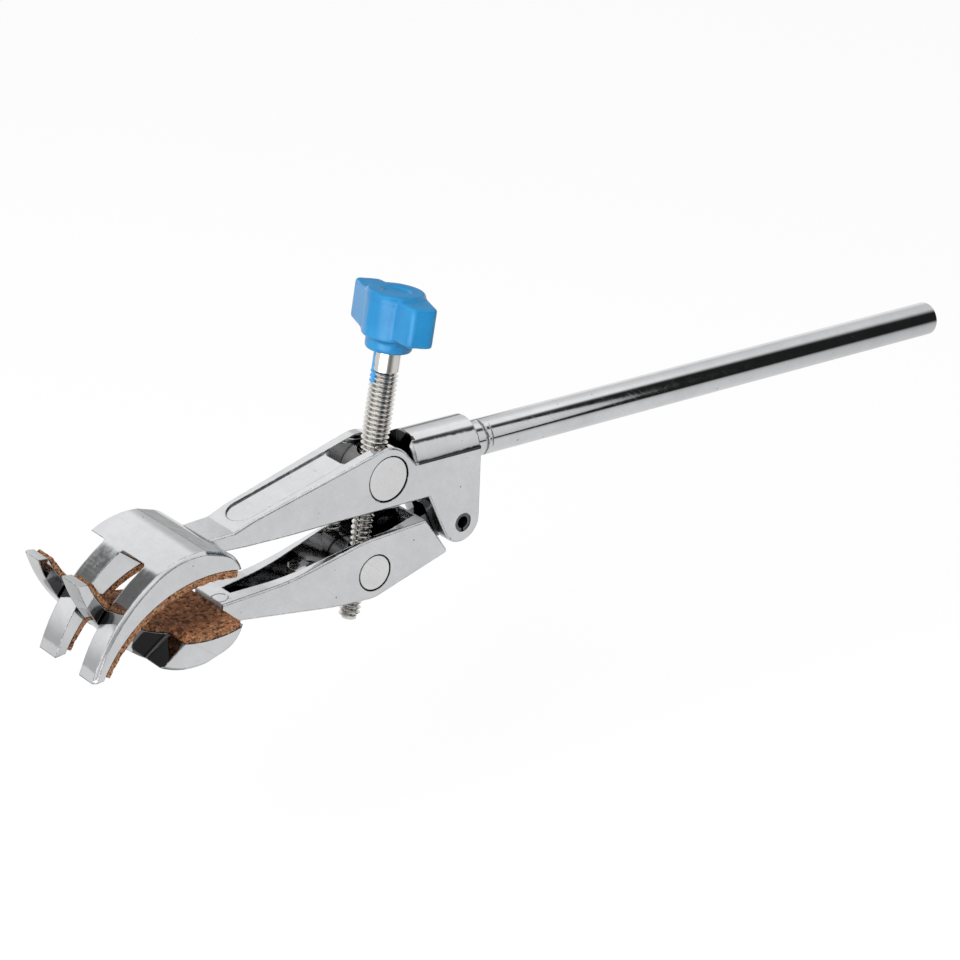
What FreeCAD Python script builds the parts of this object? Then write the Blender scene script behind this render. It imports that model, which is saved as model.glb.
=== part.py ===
import FreeCAD, Part
import os
import math

os.makedirs("parts", exist_ok=True)

# Laboratory clamp with two forked, cork-lined jaws. All lengths are in millimetres.
# X runs along the support rod to its free end, Y points away from the viewer, Z is up.
# The origin is where the rod's axis leaves the rear face of the fixed jaw's body.

# Support rod
ROD_R = 4.0
ROD_OUT = 148.4
ROD_CHAMFER = 0.4
SPIGOT_R = 3.2
SPIGOT_LENGTH = 11.5

# Half widths of both castings at the body and at the necks
BODY_HALF_W = 6.3
TAPER_START_X = -30.0
NECK_X = -69.5
NECK_HALF_W = 4.7
NECK_FLARE = 2.2
CAST_EDGE = 0.35

# Side outline of the fixed casting: floor, neck, arm top and crown over the screw
FLOOR_REAR_X = -36.0
FLOOR_REAR_Z = -7.6
FLOOR_MIDDLE_X = -50.0
FLOOR_FRONT_X = -60.0
FLOOR_FRONT_Z = -8.05
NECK_FLOOR_Z = -7.65
NECK_TOP_Z = -4.45
ARM_FOOT_X = -63.0
ARM_FOOT_Z = -4.2
ARM_RISE_X = -58.5
ARM_RISE_Z = -2.5
ARM_RISE_ROUND = 8.0
CROWN_X = -23.4
CROWN_Z = 7.1
CROWN_ROUND = 7.0

# Side outline of the moving casting: heel, belly, neck, shoulder and top
HEEL_X = -7.7
HEEL_Z = -21.6
HEEL_ROUND = 0.7
BELLY_X = -27.3
BELLY_Z = -27.6
BELLY_ROUND = 8.0
BELLY_FRONT_X = -38.0
BELLY_FRONT_Z = -27.15
BELLY_FRONT_ROUND = 40.0
CHIN_X = -60.0
CHIN_Z = -24.4
LOWER_NECK_FLOOR_Z = -24.0
LOWER_NECK_TOP_Z = -22.0
SHOULDER_X = -65.5
SHOULDER_Z = -19.55
BACK_X = -49.15
BACK_Z = -18.34
BACK_ROUND = 60.0
RIDGE_X = -30.47
RIDGE_Z = -13.67
RIDGE_ROUND = 25.0
HINGE_END_X = -14.3
HINGE_END_Z = -12.75

# Boss round the rod, and the ledge it stands on
BOSS_R = 6.15
BOSS_FRONT_X = -18.0
BOSS_EDGE = 0.5
LEDGE_Z = 1.1

# Hinge between the castings: split spring pin, ears and tongue
PIN_X = -4.11
PIN_Z = -15.68
PIN_R = 2.1
PIN_BORE_R = 1.35
PIN_SLIT = 0.5
PIN_HALF = 6.15
HINGE_CLEAR = 0.07
EAR_POINT_X = 1.16
EAR_POINT_Z = -37.45
EAR_R = 4.95
EAR_CORNER_X = -13.9
EAR_CORNER_Z = -7.55
EAR_SLOT_HALF = 2.25
EAR_SLOT_TOP_Z = -11.05
TONGUE_HALF = 2.0
TONGUE_EYE_R = 3.8
TONGUE_ROOT_X = -15.0
TONGUE_ROOT_TOP_Z = -14.5
TONGUE_ROOT_LOW_Z = -20.0
TONGUE_LEAN = 1.0

# Adjusting screw: its axis leans in the XZ plane through the upper trunnion's centre
SCREW_LEAN_DEG = 7.0
UPPER_X = -25.12
UPPER_Z = -0.8
SCREW_R = 2.97
SHANK_R = 2.85
SMALL_THREAD_R = 2.28
SMALL_THREAD_TOP_S = -7.0
TIP_S = -33.4
TIP_CHAMFER = 0.7
THREAD_END_S = 21.7
SHANK_END_S = 36.0
THREAD_CLEAR = 0.05

# Trunnions: the upper one lets the screw slide, the lower one is its nut
UPPER_BARREL_R = 5.07
UPPER_BARREL_HALF = 6.1
UPPER_CROSS_R = 3.45
LOWER_S = -20.9
LOWER_BARREL_R = 4.07
LOWER_BARREL_HALF = 6.2
TRUNNION_CLEAR = 0.07
BARREL_CHAMFER = 0.25

# Openings in the fixed casting
TOP_SLOT_FRONT_X = -34.8
TOP_SLOT_REAR_X = -16.5
TOP_SLOT_HALF = 3.7
TOP_SLOT_CORNER_R = 1.6
RECESS_FRONT_X = -61.0
RECESS_DEPTH = 0.4
CAVITY_FRONT_X = -61.3
CAVITY_FRONT_HALF = 1.5
CAVITY_WIDE_FRONT_X = -33.0
CAVITY_WIDE_REAR_X = -24.0
CAVITY_WIDE_HALF = 5.1
CAVITY_REAR_X = -14.8
CAVITY_REAR_HALF = 2.6
CAVITY_ROOF_Z = 0.6
CAVITY_ROOF_X = -35.0
CAVITY_FRONT_ROOF_Z = -6.2

# Hollow in the moving casting, and the slot for the screw through its floor
TROUGH_FRONT_Z = -22.0
TROUGH_LOW_X = -38.8
TROUGH_LOW_Z = -24.7
TROUGH_SLOT_Z = -24.4
TROUGH_REAR_Z = -21.4
SCREW_SLOT_FRONT_X = -36.2
SCREW_SLOT_REAR_X = -24.2
SCREW_SLOT_HALF = 3.35

# Jaw plates: the lower one is the upper one turned over about this level
TURN_Z = -14.65
JAW_HALF_W = 12.7
JAW_BEAD = 0.65

# Inner circle of a jaw plate, which starts at the plate's rear edge below the neck.
# Places on a jaw are given by an angle about its centre and a height outside it.
JAW_R = 28.1
JAW_LAP = 3.1
JAW_DROP = 0.65
JAW_REAR_X = NECK_X + JAW_LAP
JAW_REAR_Z = NECK_FLOOR_Z - JAW_DROP
JAW_REAR_DEG = 76.0
BROW_DEG = 79.6
BROW_OUT = 3.4
CREASE_DEG = 93.1
CREASE_OUT = 5.2
CREST_DEG = 104.5
CREST_OUT = 7.05
SHOULDER_DEG = 136.6
SHOULDER_OUT = 5.15
TIP_DEG = 155.05
TIP_OUTER_DEG = 157.4
TIP_THICK = 2.0

# The lower jaw and its cork are longer than the upper ones, from the tips, by these ratios
LOWER_STRETCH = 1.02
LOWER_CORK_STRETCH = 1.03

# Rounds of the brow, crest and shoulder, for each millimetre of the circle's radius
BROW_ROUND = 0.245
CREST_ROUND = 0.63
SHOULDER_ROUND = 1.25

# Cork linings: glued inside the circle, with three thicknesses
GLUE = 0.05
CORK_REAR_THICK = 1.75
CORK_MIDDLE_THICK = 1.6
CORK_TIP_THICK = 1.15
CORK_REAR_DEG = 78.2
CORK_TIP_DEG = 153.6
CORK_OVER = 0.1

# Fork of a jaw: a gap between its two prongs and one open side, down to a slanted root
GAP_FROM_Y = -7.4
GAP_TO_Y = 1.15
OPEN_FROM_Y = 6.9
ROOT_DEG = 111.5
ROOT_OUT = 4.9
ROOT_TURN_DEG = -54.2
ROOT_CORNER_R = 0.8

# Wing knob, measured along the screw's axis and across it
KNOB_FOOT_S = 26.35
COLLAR_TOP_S = 29.9
WING_TOP_S = 38.3
HUB_TOP_S = 39.05
COLLAR_R = 5.0
HUB_R = 6.2
KNOB_EDGE = 0.4
LOBE_P = -6.55
LOBE_Q = 0.05
LOBE_ROUND = 1.6
VALLEY_P = -3.5
VALLEY_Q = -3.2
VALLEY_ROUND = 0.8
WING_FRONT_P = -3.85
WING_FRONT_Q = -10.28
WING_TIP_P = 1.2
WING_TIP_Q = -12.55
WING_ROUND = 1.5
DISH_R = 3.0
DISH_DEPTH = 0.5
KNOB_LAP = 1.0

# Cutters run past the metal by this much
PAST = 20.0

# A round takes at most this share of its shorter side
ROUND_SHARE = 0.98

X_AXIS = FreeCAD.Vector(1, 0, 0)
Y_AXIS = FreeCAD.Vector(0, 1, 0)
Z_AXIS = FreeCAD.Vector(0, 0, 1)


def point(x, z, y=0.0):
    return FreeCAD.Vector(x, y, z)


# A closed outline from corners (u, v) or, where the corner is rounded, (u, v, radius)
def outline(corners, place):
    stops = []
    for i, corner in enumerate(corners):
        u, v = corner[:2]
        if len(corner) == 2:
            stops.append([(u, v), (u, v), (u, v)])
            continue
        ways = []
        sides = []
        for other in (corners[i - 1], corners[(i + 1) % len(corners)]):
            length = math.hypot(other[0] - u, other[1] - v)
            ways.append(((other[0] - u) / length, (other[1] - v) / length))
            sides.append(length)
        half = math.acos(ways[0][0] * ways[1][0] + ways[0][1] * ways[1][1]) / 2
        radius = min(corner[2], ROUND_SHARE * min(sides) * math.tan(half))
        back = radius / math.tan(half)
        sum_u = ways[0][0] + ways[1][0]
        sum_v = ways[0][1] + ways[1][1]
        inward = (radius / math.sin(half) - radius) / math.hypot(sum_u, sum_v)
        first = (u + back * ways[0][0], v + back * ways[0][1])
        last = (u + back * ways[1][0], v + back * ways[1][1])
        stops.append([first, (u + inward * sum_u, v + inward * sum_v), last])
    edges = []
    for i, (first, middle, last) in enumerate(stops):
        before = stops[i - 1][2]
        if math.hypot(first[0] - before[0], first[1] - before[1]) > 1e-6:
            edges.append(Part.makeLine(place(*before), place(*first)))
        if first != last:
            edges.append(Part.Arc(place(*first), place(*middle), place(*last)).toShape())
    return Part.Face(Part.Wire(edges))


# A side outline in X and Z, as thick as twice the half width
def slab(corners, half):
    face = outline(corners, lambda x, z: point(x, z, -half))
    return face.extrude(FreeCAD.Vector(0, 2 * half, 0))


# A plan outline in X and Y, carried from one level to another
def plan(corners, z_from, z_to):
    face = outline(corners, lambda x, y: FreeCAD.Vector(x, y, z_from))
    return face.extrude(FreeCAD.Vector(0, 0, z_to - z_from))


# Corners listed on the far side only, repeated on the near side
def both_sides(corners):
    return corners + [(c[0], -c[1]) + c[2:] for c in reversed(corners)]


def cross_rod(x, z, radius, half):
    return Part.makeCylinder(radius, 2 * half, point(x, z, -half), Y_AXIS)


# Shapes made upright round the Z axis are laid on the screw's axis
def on_screw(shape):
    laid = shape.copy()
    laid.rotate(FreeCAD.Vector(0, 0, 0), Y_AXIS, SCREW_LEAN_DEG)
    laid.translate(point(UPPER_X, UPPER_Z))
    return laid


def screw_rod(radius, s_from, s_to):
    return on_screw(Part.makeCylinder(radius, s_to - s_from, FreeCAD.Vector(0, 0, s_from)))


def screw_point(s):
    return on_screw(Part.Vertex(0, 0, s)).Point


# The upper jaw's form turned over for the lower jaw
def turned(shape):
    over = shape.copy()
    over.rotate(point(0, TURN_Z), FreeCAD.Vector(1, 0, 0), 180)
    return over


# Round the edges picked by a test
def soften(shape, radius, test):
    return shape.makeFillet(radius, [e for e in shape.Edges if test(e)])


# Take the sharp corner off the edges picked by a test
def bevel(shape, size, test):
    return shape.makeChamfer(size, [e for e in shape.Edges if test(e)])


# A casting's arm and body, narrowing towards the neck, with bevelled side edges
def casting(corners):
    width = plan(both_sides([
        (PAST, BODY_HALF_W),
        (TAPER_START_X, BODY_HALF_W),
        (NECK_X, NECK_HALF_W),
    ]), -2 * PAST, PAST)
    solid = slab(corners, 2 * BODY_HALF_W).common(width)

    def side_edge(edge):
        ends = edge.Vertexes
        one_side = ends[0].Y * ends[-1].Y > 0
        inside = abs(ends[0].X - ends[-1].X) < 0.01 and ends[0].X < -1
        return one_side and not inside

    return bevel(solid, CAST_EDGE, side_edge)


# The neck spreads into the jaw plate with a hollow curve on each side, in half its height
def neck_flare(z_inner, z_outer):
    reach = NECK_HALF_W + NECK_FLARE
    z_middle = (z_inner + z_outer) / 2
    spread = plan(both_sides([
        (NECK_X + 3 * NECK_FLARE, NECK_HALF_W),
        (NECK_X + NECK_FLARE, NECK_HALF_W, NECK_FLARE - 0.01),
        (NECK_X + NECK_FLARE, 2 * reach),
        (NECK_X, 2 * reach),
    ]), min(z_inner, z_middle), max(z_inner, z_middle))
    return spread.common(slab([
        (NECK_X, z_inner),
        (NECK_X, z_middle),
        (NECK_X + 2 * NECK_FLARE, z_inner),
    ], reach))


# A place on the upper jaw in X and Z, whose angle may be stretched away from the tips
def jaw_spot(degrees, out, stretch=1.0):
    turn = math.radians(TIP_DEG + (degrees - TIP_DEG) * stretch)
    rear = math.radians(JAW_REAR_DEG)
    x = JAW_REAR_X - JAW_R * math.cos(rear) + (JAW_R + out) * math.cos(turn)
    z = JAW_REAR_Z - JAW_R * math.sin(rear) + (JAW_R + out) * math.sin(turn)
    return (x, z)


# A core across the jaw, round in side view, through three places on the jaw
def bow(first, middle, last):
    circle = Part.Circle(*[point(*jaw_spot(*place)) for place in (first, middle, last)])
    return cross_rod(circle.Center.x, circle.Center.z, circle.Radius, JAW_HALF_W + PAST)


# The inner circle, or one that lies inside it
def inner_bow(inside):
    return bow((JAW_REAR_DEG, -inside), (ROOT_DEG, -inside), (TIP_DEG, -inside))


# A jaw plate before its fork is cut: a crescent from the rear edge to the prong tips
def jaw_plate(stretch):
    rear = jaw_spot(JAW_REAR_DEG, 0.0, stretch)
    tip = jaw_spot(TIP_DEG, 0.0)
    solid = slab([
        (rear[0], rear[1] - JAW_BEAD),
        rear,
        jaw_spot(BROW_DEG, BROW_OUT, stretch) + (BROW_ROUND * JAW_R,),
        jaw_spot(CREASE_DEG, CREASE_OUT, stretch),
        jaw_spot(CREST_DEG, CREST_OUT, stretch) + (CREST_ROUND * JAW_R,),
        jaw_spot(SHOULDER_DEG, SHOULDER_OUT, stretch) + (SHOULDER_ROUND * JAW_R,),
        jaw_spot(TIP_OUTER_DEG, TIP_THICK),
        tip,
        jaw_spot(TIP_DEG, -TIP_THICK),
    ], JAW_HALF_W)

    # The bead follows the outer curve along both side faces
    def bead_edge(edge):
        ends = [edge.Vertexes[0].Point, edge.Vertexes[-1].Point]
        outside = [e for e in ends if e.z > rear[1] - 0.01 or e.x < tip[0] - 0.01]
        return len(outside) == 2 and abs(ends[0].y - ends[1].y) < 0.01

    return bevel(solid, JAW_BEAD, bead_edge).cut(inner_bow(0.0))


# A cork sheet before its fork is cut, glued against the inside of the jaw plate
def cork_sheet(stretch):
    past = 2 * CORK_MIDDLE_THICK
    ends = slab([
        jaw_spot(CORK_TIP_DEG, past),
        jaw_spot(CORK_TIP_DEG, -past),
        jaw_spot(CORK_REAR_DEG, -past, stretch),
        jaw_spot(CORK_REAR_DEG, past, stretch),
        jaw_spot(ROOT_DEG, PAST),
    ], JAW_HALF_W + CORK_OVER)
    face = bow(
        (CORK_REAR_DEG, -CORK_REAR_THICK),
        (ROOT_DEG, -CORK_MIDDLE_THICK),
        (CORK_TIP_DEG, -CORK_TIP_THICK),
    )
    return ends.common(inner_bow(GLUE)).cut(face)


# A cutter for the space beside a prong, with rounded corners at its slanted root
def lane(y_from, y_to, stretch):
    cutter = plan([
        (-2 * PAST, y_from),
        (0.0, y_from, ROOT_CORNER_R),
        (0.0, y_to, ROOT_CORNER_R),
        (-2 * PAST, y_to),
    ], -PAST, PAST)
    cutter.rotate(FreeCAD.Vector(0, 0, 0), Y_AXIS, ROOT_TURN_DEG)
    cutter.translate(point(*jaw_spot(ROOT_DEG, ROOT_OUT, stretch)))
    return cutter


def forked(sheet, stretch=1.0):
    sheet = sheet.cut(lane(GAP_FROM_Y, GAP_TO_Y, stretch))
    return sheet.cut(lane(OPEN_FROM_Y, JAW_HALF_W + PAST, stretch))


# The hollow in an arm seen from above: narrow at the neck, wide round the screw
def hollow(side_corners):
    seen_from_above = plan(both_sides([
        (CAVITY_REAR_X, CAVITY_REAR_HALF),
        (CAVITY_WIDE_REAR_X, CAVITY_WIDE_HALF),
        (CAVITY_WIDE_FRONT_X, CAVITY_WIDE_HALF),
        (CAVITY_FRONT_X, CAVITY_FRONT_HALF),
    ]), -2 * PAST, PAST)
    return slab(side_corners, BODY_HALF_W).common(seen_from_above)


# The slot in the top of the body that the screw comes out of
def top_slot():
    return plan(both_sides([
        (TOP_SLOT_FRONT_X, TOP_SLOT_HALF, TOP_SLOT_CORNER_R),
        (TOP_SLOT_REAR_X, TOP_SLOT_HALF, TOP_SLOT_CORNER_R),
    ]), UPPER_Z, PAST)


# The shallow panel sunk into the top of the arm, round at its front end
def top_recess():
    panel = plan(both_sides([
        (TOP_SLOT_FRONT_X + TOP_SLOT_CORNER_R, TOP_SLOT_HALF),
        (RECESS_FRONT_X, TOP_SLOT_HALF, TOP_SLOT_HALF),
    ]), -PAST, PAST)
    above = slab(arm_top(1.0) + [(CROWN_X, PAST), (NECK_X, PAST)], TOP_SLOT_HALF)
    above.translate(point(0, -RECESS_DEPTH))
    return above.common(panel)


# The top of the fixed arm from the neck to the crown, whose round may be left sharp
def arm_top(crown_round):
    return [
        (NECK_X, NECK_TOP_Z),
        (ARM_FOOT_X, ARM_FOOT_Z),
        (ARM_RISE_X, ARM_RISE_Z, ARM_RISE_ROUND),
        (CROWN_X, CROWN_Z, crown_round),
    ]


def fixed_jaw():
    body = casting([
        (0.0, LEDGE_Z),
        (EAR_POINT_X, EAR_POINT_Z, EAR_R),
        (EAR_CORNER_X, EAR_CORNER_Z),
        (FLOOR_REAR_X, FLOOR_REAR_Z),
        (FLOOR_MIDDLE_X, FLOOR_FRONT_Z),
        (FLOOR_FRONT_X, FLOOR_FRONT_Z),
        (NECK_X, NECK_FLOOR_Z),
    ] + arm_top(CROWN_ROUND) + [
        (BOSS_FRONT_X, LEDGE_Z),
    ])
    boss = Part.makeCylinder(BOSS_R, -BOSS_FRONT_X, point(BOSS_FRONT_X, 0), X_AXIS)
    boss = bevel(boss, BOSS_EDGE, lambda e: e.BoundBox.XLength < 0.01)
    body = body.fuse(boss)
    body = body.cut(hollow([
        (CAVITY_FRONT_X, -PAST),
        (CAVITY_FRONT_X, CAVITY_FRONT_ROOF_Z),
        (CAVITY_ROOF_X, CAVITY_ROOF_Z),
        (CAVITY_REAR_X, CAVITY_ROOF_Z),
        (CAVITY_REAR_X, -PAST),
    ]))
    body = body.cut(top_slot()).cut(top_recess())
    body = body.cut(Part.makeBox(PAST, 2 * EAR_SLOT_HALF, PAST,
                                 FreeCAD.Vector(1 - PAST, -EAR_SLOT_HALF, EAR_SLOT_TOP_Z - PAST)))
    body = body.cut(cross_rod(PIN_X, PIN_Z, PIN_R, PAST))
    body = body.cut(cross_rod(UPPER_X, UPPER_Z, UPPER_BARREL_R + TRUNNION_CLEAR, PAST))
    body = body.cut(Part.makeCylinder(SPIGOT_R, PAST, point(-SPIGOT_LENGTH, 0), X_AXIS))
    body = body.cut(Part.makeCylinder(ROD_R, PAST, point(0, 0), X_AXIS))
    return body.fuse(forked(jaw_plate(1.0))).fuse(neck_flare(NECK_FLOOR_Z, NECK_TOP_Z))


def moving_jaw():
    body = casting([
        (HINGE_END_X, HINGE_END_Z),
        (HEEL_X, HEEL_Z, HEEL_ROUND),
        (BELLY_X, BELLY_Z, BELLY_ROUND),
        (BELLY_FRONT_X, BELLY_FRONT_Z, BELLY_FRONT_ROUND),
        (CHIN_X, CHIN_Z),
        (NECK_X, LOWER_NECK_FLOOR_Z),
        (NECK_X, LOWER_NECK_TOP_Z),
        (SHOULDER_X, LOWER_NECK_TOP_Z),
        (SHOULDER_X, SHOULDER_Z),
        (BACK_X, BACK_Z, BACK_ROUND),
        (RIDGE_X, RIDGE_Z, RIDGE_ROUND),
    ])
    body = body.cut(hollow([
        (CAVITY_FRONT_X, PAST),
        (CAVITY_FRONT_X, TROUGH_FRONT_Z),
        (TROUGH_LOW_X, TROUGH_LOW_Z),
        (CAVITY_WIDE_REAR_X, TROUGH_SLOT_Z),
        (CAVITY_REAR_X, TROUGH_REAR_Z),
        (CAVITY_REAR_X, PAST),
    ]))
    body = body.cut(plan(both_sides([
        (SCREW_SLOT_FRONT_X, SCREW_SLOT_HALF, SCREW_SLOT_HALF),
        (SCREW_SLOT_REAR_X, SCREW_SLOT_HALF, SCREW_SLOT_HALF),
    ]), -2 * PAST, TROUGH_FRONT_Z))
    tongue = slab([
        (TONGUE_ROOT_X, TONGUE_ROOT_TOP_Z),
        (TONGUE_ROOT_X, TONGUE_ROOT_LOW_Z),
        (PIN_X, PIN_Z - TONGUE_EYE_R),
        (PIN_X - TONGUE_LEAN, PIN_Z + math.sqrt(TONGUE_EYE_R ** 2 - TONGUE_LEAN ** 2)),
    ], TONGUE_HALF)
    body = body.fuse(tongue).fuse(cross_rod(PIN_X, PIN_Z, TONGUE_EYE_R, TONGUE_HALF))
    body = body.cut(cross_rod(PIN_X, PIN_Z, PIN_R + HINGE_CLEAR, PAST))
    nut = screw_point(LOWER_S)
    body = body.cut(cross_rod(nut.x, nut.z, LOWER_BARREL_R + TRUNNION_CLEAR, PAST))
    body = body.fuse(turned(forked(jaw_plate(LOWER_STRETCH), LOWER_STRETCH)))
    return body.fuse(neck_flare(LOWER_NECK_TOP_Z, LOWER_NECK_FLOOR_Z))


# A swivel barrel across a casting, with a cross hole for the screw
def barrel(s, radius, half, cross_radius):
    centre = screw_point(s)
    body = cross_rod(centre.x, centre.z, radius, half)
    body = bevel(body, BARREL_CHAMFER, lambda e: e.BoundBox.YLength < 0.01)
    return body.cut(screw_rod(cross_radius, s - PAST, s + PAST))


def spring_pin():
    pin = cross_rod(PIN_X, PIN_Z, PIN_R, PIN_HALF)
    pin = pin.cut(cross_rod(PIN_X, PIN_Z, PIN_BORE_R, PAST))
    slit = Part.makeBox(PIN_SLIT, 2 * PAST, PAST,
                        FreeCAD.Vector(PIN_X - PIN_SLIT / 2, -PAST, PIN_Z - PAST))
    return pin.cut(slit)


def adjusting_screw():
    profile = [
        (0.0, TIP_S),
        (SMALL_THREAD_R - TIP_CHAMFER, TIP_S),
        (SMALL_THREAD_R, TIP_S + TIP_CHAMFER),
        (SMALL_THREAD_R, SMALL_THREAD_TOP_S),
        (SCREW_R, SMALL_THREAD_TOP_S),
        (SCREW_R, THREAD_END_S),
        (SHANK_R, THREAD_END_S),
        (SHANK_R, SHANK_END_S),
        (0.0, SHANK_END_S),
    ]
    return on_screw(outline(profile, point).revolve(FreeCAD.Vector(0, 0, 0), Z_AXIS, 360))


# The knob's grip and disc, with the collar under them, moulded onto the screw's shank
def wing_knob():
    half = [
        (LOBE_P, LOBE_Q, LOBE_ROUND),
        (VALLEY_P, VALLEY_Q, VALLEY_ROUND),
        (WING_FRONT_P, WING_FRONT_Q, WING_ROUND),
        (WING_TIP_P, WING_TIP_Q, WING_ROUND),
    ]
    other_half = [(-p, -q, radius) for p, q, radius in half]

    def disc(radius, s_from, s_to):
        return Part.makeCylinder(radius, s_to - s_from, FreeCAD.Vector(0, 0, s_from))

    def rim(edge):
        return edge.BoundBox.ZLength < 0.01

    grip = soften(plan(half + other_half, COLLAR_TOP_S, WING_TOP_S), KNOB_EDGE, rim)
    top = disc(HUB_R, WING_TOP_S - KNOB_LAP, HUB_TOP_S)
    top = bevel(top, KNOB_EDGE, lambda e: rim(e) and e.BoundBox.ZMin > WING_TOP_S)
    collar = disc(COLLAR_R, KNOB_FOOT_S, COLLAR_TOP_S + KNOB_LAP)
    collar = bevel(collar, KNOB_EDGE, lambda e: rim(e) and e.BoundBox.ZMax < COLLAR_TOP_S)
    knob = grip.fuse(top).fuse(collar)
    knob = knob.cut(disc(DISH_R, HUB_TOP_S - DISH_DEPTH, HUB_TOP_S + KNOB_LAP))
    return on_screw(knob.cut(disc(SHANK_R, KNOB_FOOT_S - KNOB_LAP, SHANK_END_S)))


# The rod, with a thinner spigot seated in the fixed jaw's boss
def rod():
    bar = Part.makeCylinder(ROD_R, ROD_OUT, point(0, 0), X_AXIS)
    bar = bevel(bar, ROD_CHAMFER, lambda e: e.BoundBox.XMin > ROD_OUT - 1)
    return bar.fuse(Part.makeCylinder(SPIGOT_R, SPIGOT_LENGTH + 1, point(-SPIGOT_LENGTH, 0), X_AXIS))


def write(name, shape):
    shape = shape.removeSplitter()
    shape.exportStep("parts/" + name + ".step")
    box = shape.BoundBox
    limits = (box.XMin, box.XMax, box.YMin, box.YMax, box.ZMin, box.ZMax)
    print(name, shape.isValid(), len(shape.Solids), round(shape.Volume, 1), [round(v, 2) for v in limits])


write("rod", rod())
write("fixed_jaw", fixed_jaw())
write("moving_jaw", moving_jaw())
write("hinge_pin", spring_pin())
write("upper_trunnion", barrel(0.0, UPPER_BARREL_R, UPPER_BARREL_HALF, UPPER_CROSS_R))
write("lower_trunnion", barrel(LOWER_S, LOWER_BARREL_R, LOWER_BARREL_HALF, SMALL_THREAD_R + THREAD_CLEAR))
write("screw", adjusting_screw())
write("knob", wing_knob())
write("upper_cork", forked(cork_sheet(1.0)))
write("lower_cork", turned(forked(cork_sheet(LOWER_CORK_STRETCH), LOWER_STRETCH)))
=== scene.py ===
import math

import bmesh
import bpy
from mathutils import Matrix, Vector, noise

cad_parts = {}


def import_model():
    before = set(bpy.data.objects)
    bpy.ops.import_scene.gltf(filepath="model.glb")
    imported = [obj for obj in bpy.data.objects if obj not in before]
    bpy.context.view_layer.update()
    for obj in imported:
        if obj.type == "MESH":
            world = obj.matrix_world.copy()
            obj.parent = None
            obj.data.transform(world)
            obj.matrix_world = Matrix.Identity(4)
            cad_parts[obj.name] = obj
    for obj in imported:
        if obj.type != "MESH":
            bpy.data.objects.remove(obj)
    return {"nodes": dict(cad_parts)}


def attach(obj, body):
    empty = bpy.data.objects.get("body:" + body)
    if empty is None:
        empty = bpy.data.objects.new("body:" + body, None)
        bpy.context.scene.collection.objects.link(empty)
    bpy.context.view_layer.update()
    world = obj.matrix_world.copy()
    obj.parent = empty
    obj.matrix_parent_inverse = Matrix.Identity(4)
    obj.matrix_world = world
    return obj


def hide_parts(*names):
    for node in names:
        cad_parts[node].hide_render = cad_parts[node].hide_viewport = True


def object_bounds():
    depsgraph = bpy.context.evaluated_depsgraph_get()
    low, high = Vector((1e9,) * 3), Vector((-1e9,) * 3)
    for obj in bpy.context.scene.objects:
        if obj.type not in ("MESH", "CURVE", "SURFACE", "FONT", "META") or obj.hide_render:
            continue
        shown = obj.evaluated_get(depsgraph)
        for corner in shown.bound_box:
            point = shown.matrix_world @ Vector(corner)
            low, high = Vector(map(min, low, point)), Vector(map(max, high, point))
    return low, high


# Laboratory clamp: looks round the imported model.
# Lengths named for the clamp are in millimetres, and those named for the stage in metres.
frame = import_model()
cad_low, cad_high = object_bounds()
MM = 0.001

# Camera: its place in millimetres, its angles in degrees and its lens
CAMERA_AT = (-357.09, -411.13, 224.70)
CAMERA_AZIMUTH = -41.41
CAMERA_ELEVATION = 23.21
CAMERA_ROLL = 3.60
LENS = 103.24
SENSOR = 36.0

# The screw's axis and its stretches along it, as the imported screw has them
SCREW_LEAN = math.radians(7.0)
SCREW_AT = (-25.12, 0.0, -0.8)
SCREW_TIP = -33.4
SMALL_TOP = -7.0
SMALL_TO_LARGE = 0.5
THREAD_TOP = 21.7
SHANK_TOP = 30.0
SMALL_R = 2.28
SMALL_PITCH = 1.15
LARGE_R = 2.97
LARGE_PITCH = 1.03
SHANK_R = 2.85
SHANK_EDGE = 0.25
TIP_BEVEL = 0.7
# Depth of a thread, its flat crest and its two flanks as shares of its pitch, and how finely it is made
THREAD_DEPTH = 0.58
THREAD_CREST = 0.14
THREAD_FLANKS = 0.72
THREAD_AROUND = 40
THREAD_STEPS = 8
# Radius of the tiny rings that close the screw's two ends
NO_RADIUS = 0.001
# How far the large thread's foot lies below its root, how near points are joined, and the angle in degrees
# from which an edge stays sharp
FOOT_STEP = 0.1
JOIN_WITHIN = 0.0005
SHARP_FROM = 38
# The painted reflection of the blue knob on the shank: its edge across the shank and the way across, the
# heights along the screw where it grows narrower and where it starts, how much wider it is below, how far its
# edge lies off at the start, and how ragged that edge is
KNOB_REFLECTION_EDGE = 2.30
KNOB_REFLECTION_WAY = (-0.75, 0.66)
KNOB_REFLECTION_NARROWS = (21.6, 22.6)
KNOB_REFLECTION_STARTS = (18.6, 19.8)
KNOB_REFLECTION_WIDER = 0.6
KNOB_REFLECTION_OFF = 1.7
KNOB_REFLECTION_RAGGED = 0.20

# The knob's round core, which runs through the wings, along the screw's axis, the width of the knob's
# small even faces and how often they are smoothed
KNOB_CORE_R = 6.1
KNOB_CORE_LOW = 29.2
KNOB_CORE_HIGH = 38.4
KNOB_CORE_AROUND = 64
KNOB_GRID = 0.24
KNOB_EASING = 18
# Width of the corks' even faces, how deep they are worn away, all over, in coarse and in fine pits, and
# how dense those pits are
CORK_GRID = 0.25
CORK_LOSS = (0.03, 0.24, 0.12)
CORK_COARSE = 850.0
CORK_FINE = 2100.0

# Middles of the two barrels along and up the clamp, their radii, and the painted shade lines for the gap
# just inside each rim
UPPER_BARREL = (-25.12, -0.8)
LOWER_BARREL = (-27.67, -21.54)
UPPER_BARREL_R = 5.07
LOWER_BARREL_R = 4.07
RIM_INSET = 0.12
UPPER_RIM = 0.24
LOWER_RIM = 0.22
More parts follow.
